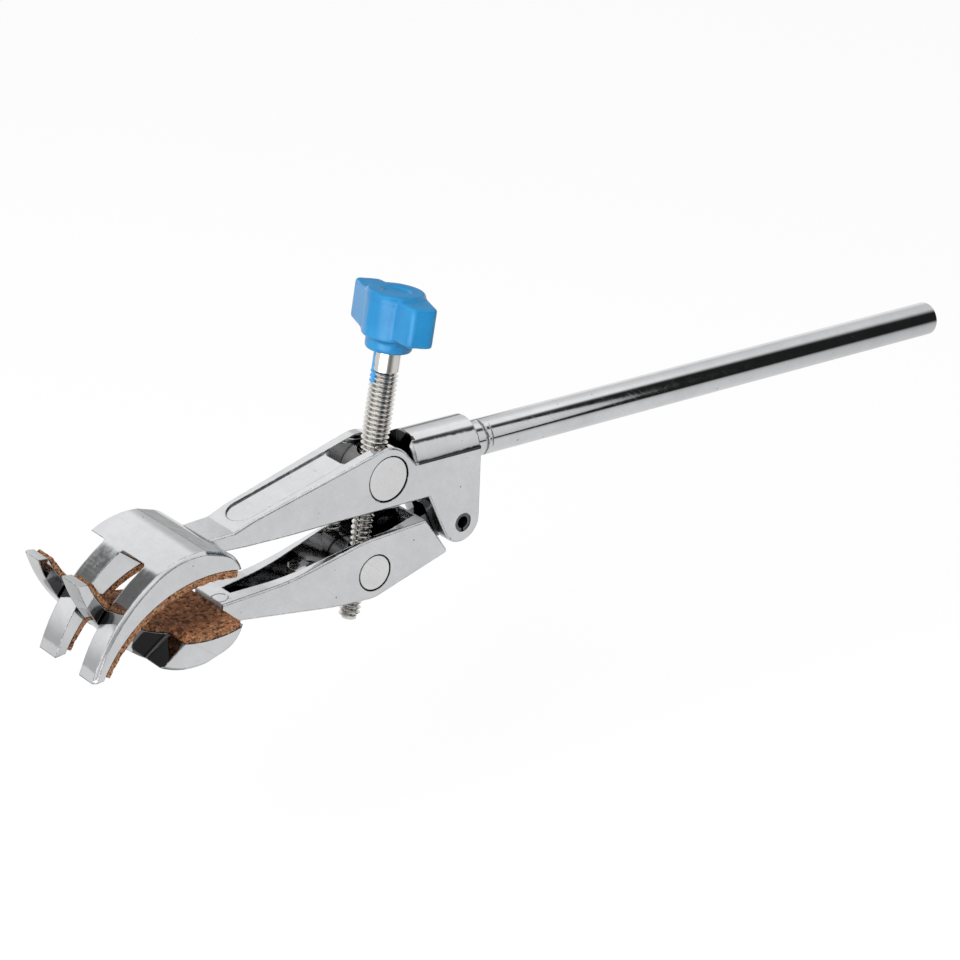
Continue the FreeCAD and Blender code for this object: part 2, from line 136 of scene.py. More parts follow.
# Where the rolled groove runs round the rod, its half width inside and outside its soft edge, the same for
# a fainter line beside it, and how far both wander
CRIMP_X = 3.7
CRIMP_HALF = (0.15, 0.55)
CRIMP_BESIDE = 1.5
CRIMP_LINE = (0.05, 0.25)
CRIMP_WANDER = 0.25

# Boxes on the castings, as reaches along X, Y and Z: the notch between the lower jaw's prongs, the ledges
# where the boss leaves the body's sides and the recess's wall behind the screw, all three painted dark as
# shade, the slot before the screw, where the painted shade of hollows is weaker and the barrels are
# painted light, and the lower neck's end at the cork, painted pale and matt as light
DARK_NOTCH = ((-88.4, -79.5), (-12.55, -6.4), (-27.5, -18.5))
LEDGES = (((-17.2, 0.6), (-7.0, -5.7), (0.55, 1.15)), ((-17.2, 0.6), (5.7, 7.0), (0.55, 1.15)))
RECESS_WALL = ((-17.2, -16.2), (-3.4, 3.4), (1.0, 5.65))
SLOT = ((-42.0, -27.0), (-6.0, 6.0), (-3.0, 9.0))
NECK_END = ((-66.2, -65.2), (-4.5, 4.5), (-21.2, -19.0))
SLOT_LIGHTER = 0.60
# Pale colour of the painted highlights on arrises and of the painted light on the neck's end
PAINTED_LIGHT_PALE = (0.85, 0.85, 0.86)
# Middles of the small faces at the prongs' roots that are painted dark as shade, how far each reaches, and
# how softly it ends
DARK_ROOTS = (((-97.6, 7.4, -12.0), 2.6), ((-96.3, -6.9, -12.8), 2.6))
ROOT_FADE = 0.6
# A shallow round punch mark on the lower neck's top: its middle, its radius, its line's half width inside
# and outside its soft edge, and the top's heights
PUNCH_AT = (-64.2, -1.9)
PUNCH_R = 1.75
PUNCH_HALF = (0.06, 0.20)
PUNCH_LEVEL = (-19.62, -17.5)

# The room that the metal mirrors: radius, middle, faces round and up, and its lowest and highest ring
ROOM_R = 0.62
ROOM_AT = (0.020, 0.0, 0.0)
ROOM_AROUND = 240
ROOM_UP = 66
ROOM_LOW = -7
ROOM_HIGH = 89.9
# Right edge of the tall white side card, as (elevation, azimuth)
CARD_EDGE = ((-6, -60), (-1, -56), (4, -51), (13, -46.5), (21, -44.3), (30, -41.3), (39, -37.3), (46, -33.5),
             (52, -30))
# Brightness by elevation: the side card, the room's near left, its far side, the crease in that side and
# the horizon at the left of it
SIDE_CARD = ((-2.5, 0.05), (-1, 0.30), (1, 0.70), (5, 0.79), (15, 0.87), (25, 0.93), (38, 0.97), (52, 1.02),
             (60, 1.1))
NEAR_LEFT = ((-5, 0.75), (5, 0.62), (15, 0.45), (20, 0.62), (26, 0.86), (34, 1.02), (40, 1.25), (48, 1.0))
FAR_SIDE = ((-5, 1.2), (8, 1.05), (28, 0.84), (42, 1.0), (50, 1.28), (65, 1.15))
CREASE = ((0, 0.88), (3, 0.55), (6, 0.28), (14, 0.32), (19, 0.70), (30, 0.76), (40, 0.9))
HORIZON = ((-2, 0.60), (0, 0.62), (3, 0.75), (7, 0.98), (11, 1.14))
# Lower edge of the dark band at the left of the far side, as (azimuth, elevation)
DARK_BAND = ((108, 46), (114, 38), (124, 30), (131, 21), (140, 16), (160, 12))

# The floor lies below the lower jaw at its widest, and the mirrored sheet just under the clamp at rest
FLOOR_DROP = 0.058
SHEET_DROP = 0.001
SHEET_HALF = 6.0
# What the floor gives off and scatters where it is seen, and what it scatters on to the clamp
FLOOR_GLOW = 0.90
FLOOR_MATT = 0.13
FLOOR_BOUNCE = 0.75
# Brightness of the mirrored sheet along the clamp, as (position, level), and how far it fades slantwise
SHEET_FADE = ((0.11, 0.80), (0.20, 0.66), (0.29, 0.46), (0.42, 0.06))
SHEET_LEAN = -0.36
# Its painted shadow close in front of the arms: how deep it is, and where its far edge, left end and right
# end fade
FRONT_SHADOW_DEPTH = 0.84
FRONT_EDGE = (-0.145, -0.105)
FRONT_LEFT = (-0.16, -0.09)
FRONT_RIGHT = (-0.02, 0.06)
# Its painted shadow of the jaws and its painted glow: level at the middle, middle, and where the edge fades
JAW_SHADE = 0.50
JAW_SHADE_AT = (-0.105, 0.010)
JAW_SHADE_REACH = (0.012, 0.042)
LIT_PATCH = 6.0
LIT_PATCH_AT = (-0.37, -0.17)
LIT_PATCH_REACH = (0.12, 0.24)
# Light from all around, apart from the lamp
WORLD_LIGHT = 0.38


# Nodes
def add(tree, kind, **values):
    """A new shader node with its settings."""
    node = tree.nodes.new("ShaderNode" + kind)
    for key, value in values.items():
        setattr(node, key, value)
    return node


def put(tree, socket, value):
    """A link when the value comes from a node, or else the plain value."""
    if isinstance(value, bpy.types.NodeSocket):
        tree.links.new(value, socket)
    else:
        socket.default_value = value


def span(tree, value, low, high, to_low=0.0, to_high=1.0):
    """The value's way from low to high, laid on the way from to_low to to_high."""
    node = add(tree, "MapRange")
    put(tree, node.inputs["Value"], value)
    for key, number in (("From Min", low), ("From Max", high), ("To Min", to_low), ("To Max", to_high)):
        node.inputs[key].default_value = number
    return node.outputs[0]


def combine(tree, operation, first, second=0.5):
    """One step of arithmetic."""
    node = add(tree, "Math", operation=operation)
    put(tree, node.inputs[0], first)
    put(tree, node.inputs[1], second)
    return node.outputs[0]


def split(tree, vector):
    """The three parts of a vector."""
    node = add(tree, "SeparateXYZ")
    put(tree, node.inputs[0], vector)
    return node.outputs


def distance(tree, place, spot):
    """How far a place is from a fixed spot."""
    node = add(tree, "VectorMath", operation="DISTANCE")
    put(tree, node.inputs[0], place)
    node.inputs[1].default_value = spot
    return node.outputs["Value"]


class Maker:
    """A short way to write a procedural material."""

    def __init__(self, name):
        self.material = bpy.data.materials.new(name)
        self.material.use_nodes = True
        self.tree = self.material.node_tree
        self.shader = self.tree.nodes["Principled BSDF"]
        self.place = add(self.tree, "TexCoord").outputs["Object"]

    def set(self, **values):
        for key, value in values.items():
            put(self.tree, self.shader.inputs[key.replace("_", " ")], value)

    def noise(self, scale, detail=3.0, rough=0.5):
        node = add(self.tree, "TexNoise")
        put(self.tree, node.inputs["Vector"], self.place)
        node.inputs["Scale"].default_value = scale
        node.inputs["Detail"].default_value = detail
        node.inputs["Roughness"].default_value = rough
        return node.outputs["Fac"]

    def cells(self, scale, feature="F1", kind="Distance"):
        node = add(self.tree, "TexVoronoi", feature=feature)
        put(self.tree, node.inputs["Vector"], self.place)
        node.inputs["Scale"].default_value = scale
        return node.outputs[kind]

    def span(self, value, low, high, to_low=0.0, to_high=1.0):
        return span(self.tree, value, low, high, to_low, to_high)

    def fade(self, value, low, high, to_low=1.0, to_high=0.0):
        """The span from one length in millimetres to another, downwards unless told otherwise."""
        return self.span(value, low * MM, high * MM, to_low, to_high)

    def math(self, operation, first, second=0.5):
        return combine(self.tree, operation, first, second)

    def times(self, first, second):
        return self.math("MULTIPLY", first, second)

    def rest(self, value):
        return self.math("SUBTRACT", 1.0, value)

    def off(self, value, number):
        """How far a value is from a number."""
        return self.math("ABSOLUTE", self.math("SUBTRACT", value, number))

    def far(self, first, second):
        """Distance in a plane, from its two parts."""
        return self.math("SQRT", self.math("ADD", self.times(first, first), self.times(second, second)))

    def axes(self):
        return split(self.tree, self.place)

    def facing(self):
        return add(self.tree, "NewGeometry").outputs["Normal"]

    def dot(self, first, second):
        node = add(self.tree, "VectorMath", operation="DOT_PRODUCT")
        put(self.tree, node.inputs[0], first)
        put(self.tree, node.inputs[1], second)
        return node.outputs["Value"]

    def blend(self, amount, first, second):
        node = add(self.tree, "Mix", data_type="RGBA")
        put(self.tree, node.inputs[0], amount)
        put(self.tree, node.inputs[6], first)
        put(self.tree, node.inputs[7], second)
        return node.outputs[2]

    def tint(self, colour, mask, share, new):
        """The colour, turned by a share towards a new one where the mask is 1."""
        return self.blend(self.times(mask, share), colour, (*new, 1))

    def bump(self, height, distance, strength=1.0, over=None):
        node = add(self.tree, "Bump")
        put(self.tree, node.inputs["Height"], height)
        node.inputs["Distance"].default_value = distance * MM
        node.inputs["Strength"].default_value = strength
        if over:
            put(self.tree, node.inputs["Normal"], over)
        return node.outputs[0]

    def round_edges(self, radius):
        node = add(self.tree, "Bevel")
        node.samples = 6
        node.inputs["Radius"].default_value = radius * MM
        return node.outputs[0]

    def edges(self, radius, low, high):
        """1 along the edges within a radius, 0 on flat ground."""
        return self.span(self.dot(self.round_edges(radius), self.facing()), 1 - low, 1 - high)

    def hollow(self, reach, low, high):
        """1 deep in a hollow, 0 on open ground."""
        node = add(self.tree, "AmbientOcclusion")
        node.samples = 12
        node.inputs["Distance"].default_value = reach * MM
        return self.span(node.outputs["AO"], low, high, 1.0, 0.0)

    def streaks(self, turn, long_scale, fine_scale, seed=0.0):
        """Thin scratches in the upright plane, at an angle in degrees."""
        node = add(self.tree, "Mapping", vector_type="TEXTURE")
        put(self.tree, node.inputs["Vector"], self.place)
        node.inputs["Location"].default_value = (seed, seed * 0.7, seed * 1.3)
        node.inputs["Rotation"].default_value = (0, math.radians(turn), 0)
        node.inputs["Scale"].default_value = (1 / long_scale, 1 / long_scale, 1 / fine_scale)
        lines = add(self.tree, "TexNoise")
        put(self.tree, lines.inputs["Vector"], node.outputs[0])
        lines.inputs["Scale"].default_value = 1.0
        lines.inputs["Detail"].default_value = 1.0
        return lines.outputs["Fac"]

    def between(self, value, low, high):
        """1 between two lengths."""
        over = self.math("GREATER_THAN", value, low * MM)
        return self.times(over, self.math("LESS_THAN", value, high * MM))

    def inside(self, box):
        """1 within a box given by its reach along each axis."""
        amount = 1.0
        for value, (low, high) in zip(self.axes(), box):
            amount = self.times(self.between(value, low, high), amount)
        return amount

    def ring(self, centre, radius, width):
        """1 on a thin circle round an axis across the clamp."""
        axes = self.axes()
        x = self.math("SUBTRACT", axes[0], centre[0] * MM)
        z = self.math("SUBTRACT", axes[2], centre[1] * MM)
        return self.fade(self.off(self.far(x, z), radius * MM), width * 0.4, width)


# Materials
def chrome(name, base, rough, wave, edge, grain=0.0, reach=9.0, scuff_and_shade_share=0.8, scratches=0.5, extra=None,
           bead=None):
    """Bright plated metal: cloudy polish, scratches, scuffed edges with painted dark lines on them,
    painted shade in creases and in hollows.

    wave and grain are the depths of its bumps, edge and bead the radii of its arrises, and reach is how
    far a hollow darkens. extra(maker, colour) gives the colour with more marks on it, the marks that are
    dents, and what isn't bare metal."""
    m = Maker(name)
    cloudy = m.noise(75.0, 4.0, 0.6)
    patches = m.noise(420.0, 4.0, 0.65)
    speck = m.noise(2600.0, 2.0, 0.6)
    tone = m.math("ADD", m.times(cloudy, 0.5), m.math("ADD", m.times(patches, 0.3), m.times(speck, 0.2)))
    colour = m.blend(m.span(tone, 0.38, 0.60), (*[c * 0.91 for c in base], 1), (*[c * 1.04 for c in base], 1))
    lines = m.span(m.streaks(38.0, 110.0, 4200.0), 0.64, 0.74)
    cross = m.span(m.streaks(-24.0, 90.0, 4600.0, 0.3), 0.67, 0.76)
    scored = m.times(m.math("MAXIMUM", lines, cross), m.span(cloudy, 0.40, 0.60))
    colour = m.tint(colour, scored, 0.17 * scratches, (0.16, 0.16, 0.165))
    pocks = m.times(m.span(m.cells(620.0), 0.10, 0.16, 1.0, 0.0), m.span(m.noise(330.0, 2.0), 0.60, 0.66))
    colour = m.tint(colour, pocks, 0.7, (0.05, 0.05, 0.05))
    # Painted dark lines on the arrises, standing in for the dark they mirror, broken by noise like scuffs
    scuffs_and_edge_shade = m.times(m.edges(edge * 0.72, 0.002, 0.025), m.span(m.noise(800.0, 4.0, 0.7), 0.38, 0.54))
    colour = m.tint(colour, scuffs_and_edge_shade, scuff_and_shade_share, (0.045, 0.045, 0.048))
    # Painted shade in creases, patchy
    crease_shade = m.times(m.hollow(1.3, 0.52, 0.74), m.span(m.noise(1000.0, 3.0), 0.30, 0.50, 0.5, 1.0))
    colour = m.tint(colour, crease_shade, scuff_and_shade_share, (0.030, 0.030, 0.032))
    # Painted shade deep in hollows, weaker in the slot before the screw
    deep = m.times(m.hollow(reach, 0.12, 0.66), m.rest(m.times(m.inside(SLOT), SLOT_LIGHTER)))
    colour = m.tint(colour, deep, 0.76, (0.016, 0.016, 0.017))
    dent, cover = None, None
    if extra:
        colour, dent, cover = extra(m, colour)
    m.set(Metallic=1.0 if cover is None else m.rest(cover), Base_Color=colour)
    haze = m.span(patches, 0.35, 0.70, rough, rough + 0.05)
    m.set(Roughness=m.math("ADD", haze, m.times(m.math("ADD", scored, scuffs_and_edge_shade), 0.10)))
    smooth = m.round_edges(edge)
    if bead:
        slanted = m.off(m.math("ABSOLUTE", split(m.tree, m.facing())[1]), 0.71)
        swap = add(m.tree, "Mix", data_type="VECTOR")
        put(m.tree, swap.inputs[0], m.span(slanted, 0.05, 0.09, 1.0, 0.0))
        put(m.tree, swap.inputs[4], smooth)
        put(m.tree, swap.inputs[5], m.round_edges(bead))
        smooth = swap.outputs[1]
    rolling = m.bump(m.noise(230.0, 2.0), wave, 1.0, smooth)
    if grain:
        rolling = m.bump(m.noise(2400.0, 3.0, 0.7), grain, 1.0, rolling)
    if dent is not None:
        rolling = m.bump(m.rest(dent), 0.30, 1.0, rolling)
    m.set(Normal=rolling)
    return m.material


def blue_plastic():
    """Moulded plastic, glossy on the knob's sides and matter on its top, with a painted highlight along
    its edges and painted shade in its hollows.
    """
    m = Maker("blue_moulded")
    drift = m.noise(160.0, 3.0)
    colour = m.blend(m.span(drift, 0.3, 0.7), (0.010, 0.224, 0.505, 1), (0.018, 0.270, 0.585, 1))
    # Painted highlight along the knob's edges
    painted_edge_highlight = m.times(m.edges(0.5, 0.01, 0.10), m.span(m.noise(1100.0, 3.0), 0.40, 0.62))
    colour = m.tint(colour, painted_edge_highlight, 0.28, (0.150, 0.460, 0.740))
    # Painted shade in the knob's hollows
    colour = m.tint(colour, m.hollow(3.5, 0.35, 0.85), 0.55, (0.008, 0.120, 0.330))
    m.set(Base_Color=colour)
    axis = (math.sin(SCREW_LEAN), 0.0, math.cos(SCREW_LEAN))
    top = m.span(m.dot(m.facing(), axis), 0.75, 0.92)
    m.set(Roughness=m.math("ADD", m.span(m.noise(500.0, 2.0), 0.3, 0.7, 0.20, 0.25), m.times(top, 0.22)))
    m.set(Specular_IOR_Level=m.math("SUBTRACT", 0.36, m.times(top, 0.26)))
    m.shader.inputs["Subsurface Weight"].default_value = 0.12
    m.shader.inputs["Subsurface Radius"].default_value = (0.2, 0.5, 1.0)
    m.shader.inputs["Subsurface Scale"].default_value = 1.0 * MM
    skin = m.bump(m.noise(1500.0, 2.0), 0.003, 0.5)
    m.set(Normal=m.bump(m.noise(260.0, 1.0), 0.030, 0.7, skin))
    return m.material


def cork():
    """Pressed granules, light and dark, with pits, painted light in pale specks on the sides that face
    along Y, and painted shade in hollows.
    """
    m = Maker("cork_granules")
    tone = add(m.tree, "SeparateColor")
    put(m.tree, tone.inputs[0], m.cells(1500.0, kind="Color"))
    light = m.blend(tone.outputs[0], (0.270, 0.112, 0.048, 1), (0.460, 0.205, 0.095, 1))
    light = m.tint(light, m.span(tone.outputs[1], 0.80, 0.84), 0.8, (0.520, 0.280, 0.150))
    light = m.tint(light, m.span(tone.outputs[2], 0.80, 0.84), 0.8, (0.080, 0.028, 0.012))
    seams = m.span(m.cells(1500.0, "DISTANCE_TO_EDGE"), 0.0, 0.09, 1.0, 0.0)
    light = m.tint(light, seams, 0.30, (0.060, 0.022, 0.010))
    pits = m.span(m.noise(2100.0, 2.0, 0.5), 0.61, 0.67)
    light = m.tint(light, pits, 0.85, (0.022, 0.008, 0.004))
    # Painted light on the sides that face along Y, as pale specks
    side = m.span(m.math("ABSOLUTE", split(m.tree, m.facing())[1]), 0.40, 0.75)
    side_light_specks = m.times(m.span(m.noise(1700.0, 2.0), 0.44, 0.56), m.rest(pits))
    light = m.tint(light, side, m.times(side_light_specks, 0.50), (0.640, 0.330, 0.170))
    # Painted shade in the cork's hollows
    light = m.tint(light, m.hollow(3.0, 0.2, 0.8), 0.45, (0.050, 0.020, 0.010))
    m.set(Base_Color=light)
    m.set(Roughness=m.span(tone.outputs[1], 0.0, 1.0, 0.78, 0.95))
    first = m.bump(m.rest(pits), 0.22, 1.0)
    m.set(Normal=m.bump(m.math("SUBTRACT", tone.outputs[2], seams), 0.08, 1.0, first))
    m.shader.inputs["Specular IOR Level"].default_value = 0.22
    return m.material


def casting_marks(m, colour):
    """Painted shade on small faces, with painted highlights on their arrises, painted shade on the ledges,
    a neck end painted pale and matt as light, and a punch mark.
    """
    # Painted shade in the notch between the prongs and on the faces at their roots
    near = m.inside(DARK_NOTCH)
    for spot, reach in DARK_ROOTS:
        away = distance(m.tree, m.place, [c * MM for c in spot])
        near = m.math("MAXIMUM", m.fade(away, reach - ROOT_FADE, reach), near)
    colour = m.tint(colour, near, 0.82, (0.035, 0.035, 0.037))
    # Painted highlights on the arrises of those faces
    arris_highlight = m.times(m.edges(0.22, 0.01, 0.05), near)
    colour = m.tint(colour, arris_highlight, 0.8, PAINTED_LIGHT_PALE)
    # Painted shade on the ledges and on the recess's wall
    ledge_shade = m.math("MAXIMUM", m.inside(LEDGES[0]), m.inside(LEDGES[1]))
    ledge_shade = m.math("MAXIMUM", m.inside(RECESS_WALL), ledge_shade)
    colour = m.tint(colour, ledge_shade, 0.92, (0.02, 0.02, 0.021))
    # Painted light: the neck's end made pale and matt
    end = m.times(m.inside(NECK_END), 0.95)
    colour = m.blend(end, colour, (*PAINTED_LIGHT_PALE, 1))
    axes = m.axes()
    x = m.math("SUBTRACT", axes[0], PUNCH_AT[0] * MM)
    y = m.math("SUBTRACT", axes[1], PUNCH_AT[1] * MM)
    arc = m.fade(m.off(m.far(x, y), PUNCH_R * MM), *PUNCH_HALF)
    arc = m.times(m.times(arc, m.between(axes[2], *PUNCH_LEVEL)), m.span(m.noise(700.0, 2.0), 0.36, 0.50))
    return m.tint(colour, arc, 0.85, (0.05, 0.05, 0.05)), arc, end


def barrel_marks(m, colour):
    """Painted shade lines for the gap just inside each barrel's rim, and painted light in the slot as a
    pale matt surface.
    """
    # Painted shade lines for the gap at each barrel's rim
    rim_gap_shade = m.math("MAXIMUM", m.ring(UPPER_BARREL, UPPER_BARREL_R - RIM_INSET, UPPER_RIM),
                  m.ring(LOWER_BARREL, LOWER_BARREL_R - RIM_INSET, LOWER_RIM))
    # Painted light: the barrels in the slot made pale and matt
    within = m.times(m.inside(SLOT), SLOT_LIGHTER)
    colour = m.blend(within, colour, (0.66, 0.655, 0.645, 1))
    return m.tint(colour, rim_gap_shade, 0.85, (0.03, 0.03, 0.032)), None, within


def painted_knob_reflection(m, colour):
    """A painted reflection of the blue knob, as a sliver of blue non-metal on one side of the shank."""
    axes = m.axes()
    height = m.math("ADD", axes[2], -SCREW_AT[2] * MM)
    x = m.math("SUBTRACT", axes[0], SCREW_AT[0] * MM)
    x = m.math("SUBTRACT", x, m.times(height, math.sin(SCREW_LEAN)))
    across = m.math("ADD", m.times(x, KNOB_REFLECTION_WAY[0]), m.times(axes[1], KNOB_REFLECTION_WAY[1]))
    wide = m.fade(height, *KNOB_REFLECTION_NARROWS, KNOB_REFLECTION_WIDER * MM)
    start = m.fade(height, *KNOB_REFLECTION_STARTS, KNOB_REFLECTION_OFF * MM)
    edge = m.math("ADD", m.math("SUBTRACT", KNOB_REFLECTION_EDGE * MM, wide), start)
    ragged = m.span(m.noise(900.0, 3.0), 0.3, 0.7, -KNOB_REFLECTION_RAGGED * MM, KNOB_REFLECTION_RAGGED * MM)
    cover = m.math("GREATER_THAN", across, m.math("ADD", edge, ragged))
    return m.blend(cover, colour, (0.025, 0.330, 0.700, 1)), None, cover


def crimp_mark(m, colour):
    """A rolled groove round the rod, just out of the body's boss."""
    wander = m.span(m.noise(500.0, 2.0), 0.3, 0.7, -CRIMP_WANDER * MM, CRIMP_WANDER * MM)
    along = m.math("ADD", m.axes()[0], wander)
    groove = m.fade(m.off(along, CRIMP_X * MM), *CRIMP_HALF)
    thin = m.fade(m.off(along, (CRIMP_X + CRIMP_BESIDE) * MM), *CRIMP_LINE)
    mark = m.math("MAXIMUM", groove, m.times(thin, m.span(m.noise(260.0, 2.0), 0.45, 0.60)))
    return m.tint(colour, mark, 0.80, (0.04, 0.04, 0.04)), mark, None


MATERIALS = {
    "rod": chrome("chrome_rod_polished", (0.590, 0.595, 0.605), rough=0.05, wave=0.003, edge=0.10, reach=4.0,
                  scuff_and_shade_share=0.5, scratches=0.5, extra=crimp_mark),
    "casting": chrome("chrome_casting_polished", (0.620, 0.624, 0.634), rough=0.035, wave=0.030, edge=0.28,
                      grain=0.0006, reach=8.0, scuff_and_shade_share=0.92, scratches=0.6, extra=casting_marks, bead=0.75),
    "barrel": chrome("nickel_satin", (0.690, 0.691, 0.692), rough=0.22, wave=0.008, edge=0.12, grain=0.0012,
                     reach=1.0, scuff_and_shade_share=0.5, scratches=1.2, extra=barrel_marks),
    "pin": chrome("spring_steel_dark", (0.120, 0.120, 0.125), rough=0.30, wave=0.003, edge=0.08, grain=0.001,
                  reach=3.0),
    "screw": chrome("stainless_thread", (0.650, 0.632, 0.605), rough=0.06, wave=0.002, edge=0.05,
                    grain=0.0006, reach=0.8, scuff_and_shade_share=0.3, scratches=0.3, extra=painted_knob_reflection),
    "knob": blue_plastic(),
    "cork": cork(),
}
for node_name, key in (("rod", "rod"), ("fixed_jaw", "casting"), ("moving_jaw", "casting"),
                       ("hinge_pin", "pin"), ("upper_trunnion", "barrel"), ("lower_trunnion", "barrel"),
                       ("knob", "knob"), ("upper_cork", "cork"), ("lower_cork", "cork")):
    for slot in frame["nodes"][node_name].material_slots:
        slot.material = MATERIALS[key]


# Pieces
def linked(name, data):
    """A new object in the scene."""
    thing = bpy.data.objects.new(name, data)
    bpy.context.scene.collection.objects.link(thing)
    return thing


def circle(radius, height, around, way=-1):
    """Points round the Z axis."""
    turns = [2 * math.pi * i / around for i in range(around)]
    return [(radius * math.cos(turn), way * radius * math.sin(turn), height) for turn in turns]


def on_screw(points):
    """Points made upright round the Z axis, laid on the screw's axis, in metres."""
    turn = Matrix.Rotation(SCREW_LEAN, 4, "Y")
    return [(turn @ Vector(p) + Vector(SCREW_AT)) * MM for p in points]


def thread_radius(share, crest_r, depth):
    """A V thread with a flat crest and a narrow root, by the share of its pitch."""
    rise = abs(share - 0.5) * 2
    flank = min(max((rise - THREAD_CREST) / THREAD_FLANKS, 0.0), 1.0)
    return crest_r - depth * flank


def thread_rows(low, high, crest_r, pitch):
    """Rings of points of a right-hand thread, cut flat at both ends."""
    depth = THREAD_DEPTH * pitch
    rows = []
    for j in range(int((high - low) / pitch * THREAD_STEPS) + 2 * THREAD_STEPS):
        row = []
        for i in range(THREAD_AROUND):
            angle = 2 * math.pi * i / THREAD_AROUND
            s = low - pitch + (j / THREAD_STEPS + i / THREAD_AROUND) * pitch
            r = thread_radius((j % THREAD_STEPS) / THREAD_STEPS, crest_r, depth)
            if s <= low or s >= high:
                s = min(max(s, low), high)
                r = crest_r - depth
            row.append((r * math.cos(angle), -r * math.sin(angle), s))
        rows.append(row)
    return rows


def surface(rows, shift=0):
    """A tube of quads through rings; shift joins the last step of a ring to a later ring."""
    work = bmesh.new()
    rings = [[work.verts.new(p) for p in on_screw(row)] for row in rows]
    around = len(rows[0])
    for j in range(len(rings) - 1):
        for i in range(around):
            n = (i + 1) % around
            up = shift if n == 0 else 0
            if j + 1 + up < len(rings):
                work.faces.new([rings[j][i], rings[j + up][n], rings[j + 1 + up][n], rings[j + 1][i]])
    return work


def turned(*profile):
    """A round stretch of the screw, from pairs of (radius, place along the screw)."""
    return surface([circle(radius, s, THREAD_AROUND) for radius, s in profile])


def screw_piece():
    """The screw with both its threads, a bevelled tip and a plain shank."""
    small_root = SMALL_R - THREAD_DEPTH * SMALL_PITCH
    large_root = LARGE_R - THREAD_DEPTH * LARGE_PITCH
    tip_top = SCREW_TIP + TIP_BEVEL
    large_low = SMALL_TOP + SMALL_TO_LARGE
    parts = [
        surface(thread_rows(tip_top, SMALL_TOP, SMALL_R, SMALL_PITCH), THREAD_STEPS),
        surface(thread_rows(large_low, THREAD_TOP, LARGE_R, LARGE_PITCH), THREAD_STEPS),
        turned((NO_RADIUS, SCREW_TIP), (SMALL_R - TIP_BEVEL, SCREW_TIP), (small_root, tip_top)),
        turned((small_root, SMALL_TOP), (large_root - FOOT_STEP, SMALL_TOP), (large_root, large_low)),
        turned((large_root, THREAD_TOP), (SHANK_R - SHANK_EDGE, THREAD_TOP),
               (SHANK_R, THREAD_TOP + SHANK_EDGE), (SHANK_R, SHANK_TOP), (NO_RADIUS, SHANK_TOP)),
    ]
    joined = bmesh.new()
    for part in parts:
        mesh = bpy.data.meshes.new("screw_part")
        part.to_mesh(mesh)
        part.free()
        joined.from_mesh(mesh)
        bpy.data.meshes.remove(mesh)
    bmesh.ops.remove_doubles(joined, verts=joined.verts, dist=JOIN_WITHIN * MM)
    bmesh.ops.recalc_face_normals(joined, faces=joined.faces)
    mesh = bpy.data.meshes.new("screw_threaded")
    joined.to_mesh(mesh)
    joined.free()
    mesh.materials.append(MATERIALS["screw"])
    mesh.shade_smooth()
    mesh.set_sharp_from_angle(angle=math.radians(SHARP_FROM))
    piece = linked("screw_threaded", mesh)
    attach(piece, "adjuster")
    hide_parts("screw")


def remeshed(mesh, grid, easing=0):
    """The same shape in small even faces, with its arrises eased. The given mesh is used up."""
    block = linked("block", mesh)
    mesher = block.modifiers.new("even", "REMESH")
    mesher.mode = "VOXEL"
    mesher.voxel_size = grid * MM
    if easing:
        easer = block.modifiers.new("ease", "SMOOTH")
        easer.factor = 0.5
        easer.iterations = easing
    bpy.context.view_layer.update()
    made = bpy.data.meshes.new_from_object(block.evaluated_get(bpy.context.evaluated_depsgraph_get()))
    bpy.data.objects.remove(block)
    bpy.data.meshes.remove(mesh)
    return made


def finished(name, mesh, key):
    """A smooth piece of one material."""
    mesh.name = name
    mesh.materials.clear()
    mesh.materials.append(MATERIALS[key])
    mesh.shade_smooth()
    return linked(name, mesh)


def knob_piece():
    """The knob with the soft arrises of a moulding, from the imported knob's own shape."""
    mesh = frame["nodes"]["knob"].data.copy()
    body = bmesh.new()
    body.from_mesh(mesh)
    low, high = ([body.verts.new(p) for p in on_screw(circle(KNOB_CORE_R, height, KNOB_CORE_AROUND, 1))]
                 for height in (KNOB_CORE_LOW, KNOB_CORE_HIGH))
    body.faces.new(low[::-1])
    body.faces.new(high)
    for i in range(KNOB_CORE_AROUND):
        n = (i + 1) % KNOB_CORE_AROUND
        body.faces.new([low[i], low[n], high[n], high[i]])
    body.to_mesh(mesh)
    body.free()
    piece = finished("knob_moulded", remeshed(mesh, KNOB_GRID, KNOB_EASING), "knob")
    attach(piece, "adjuster")
    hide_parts("knob")


def cork_piece(node, body):
    """A cork lining with crumbled edges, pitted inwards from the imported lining's own shape."""
    made = remeshed(frame["nodes"][node].data.copy(), CORK_GRID)
    even, coarse, fine = CORK_LOSS
    work = bmesh.new()
    work.from_mesh(made)
    work.normal_update()
    for vert in work.verts:
        large_pits = max(noise.noise(vert.co * CORK_COARSE), 0.0)
        small_pits = max(noise.noise(vert.co * CORK_FINE), 0.0)
        vert.co -= vert.normal * (even + coarse * large_pits + fine * small_pits) * MM
    work.to_mesh(made)
    work.free()
    piece = finished(node + "_granules", made, "cork")
    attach(piece, body)
    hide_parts(node)


screw_piece()
knob_piece()
cork_piece("upper_cork", "fixed")
cork_piece("lower_cork", "moving")


# Stage
def direction(azimuth, elevation):
    """A unit vector from two angles in degrees."""
    a, e = math.radians(azimuth), math.radians(elevation)
    return Vector((math.cos(a) * math.cos(e), math.sin(a) * math.cos(e), math.sin(e)))


def ramp(value, points):
    """A straight-line table: points are pairs of (position, level)."""
    for (x0, y0), (x1, y1) in zip(points, points[1:]):
        if value <= x1:
            return y0 + (y1 - y0) * min(max((value - x0) / (x1 - x0), 0.0), 1.0)
    return points[-1][1]


def soft(value, low, high):
    """A soft step from 0 to 1."""
    t = min(max((value - low) / (high - low), 0.0), 1.0)
    return t * t * (3 - 2 * t)


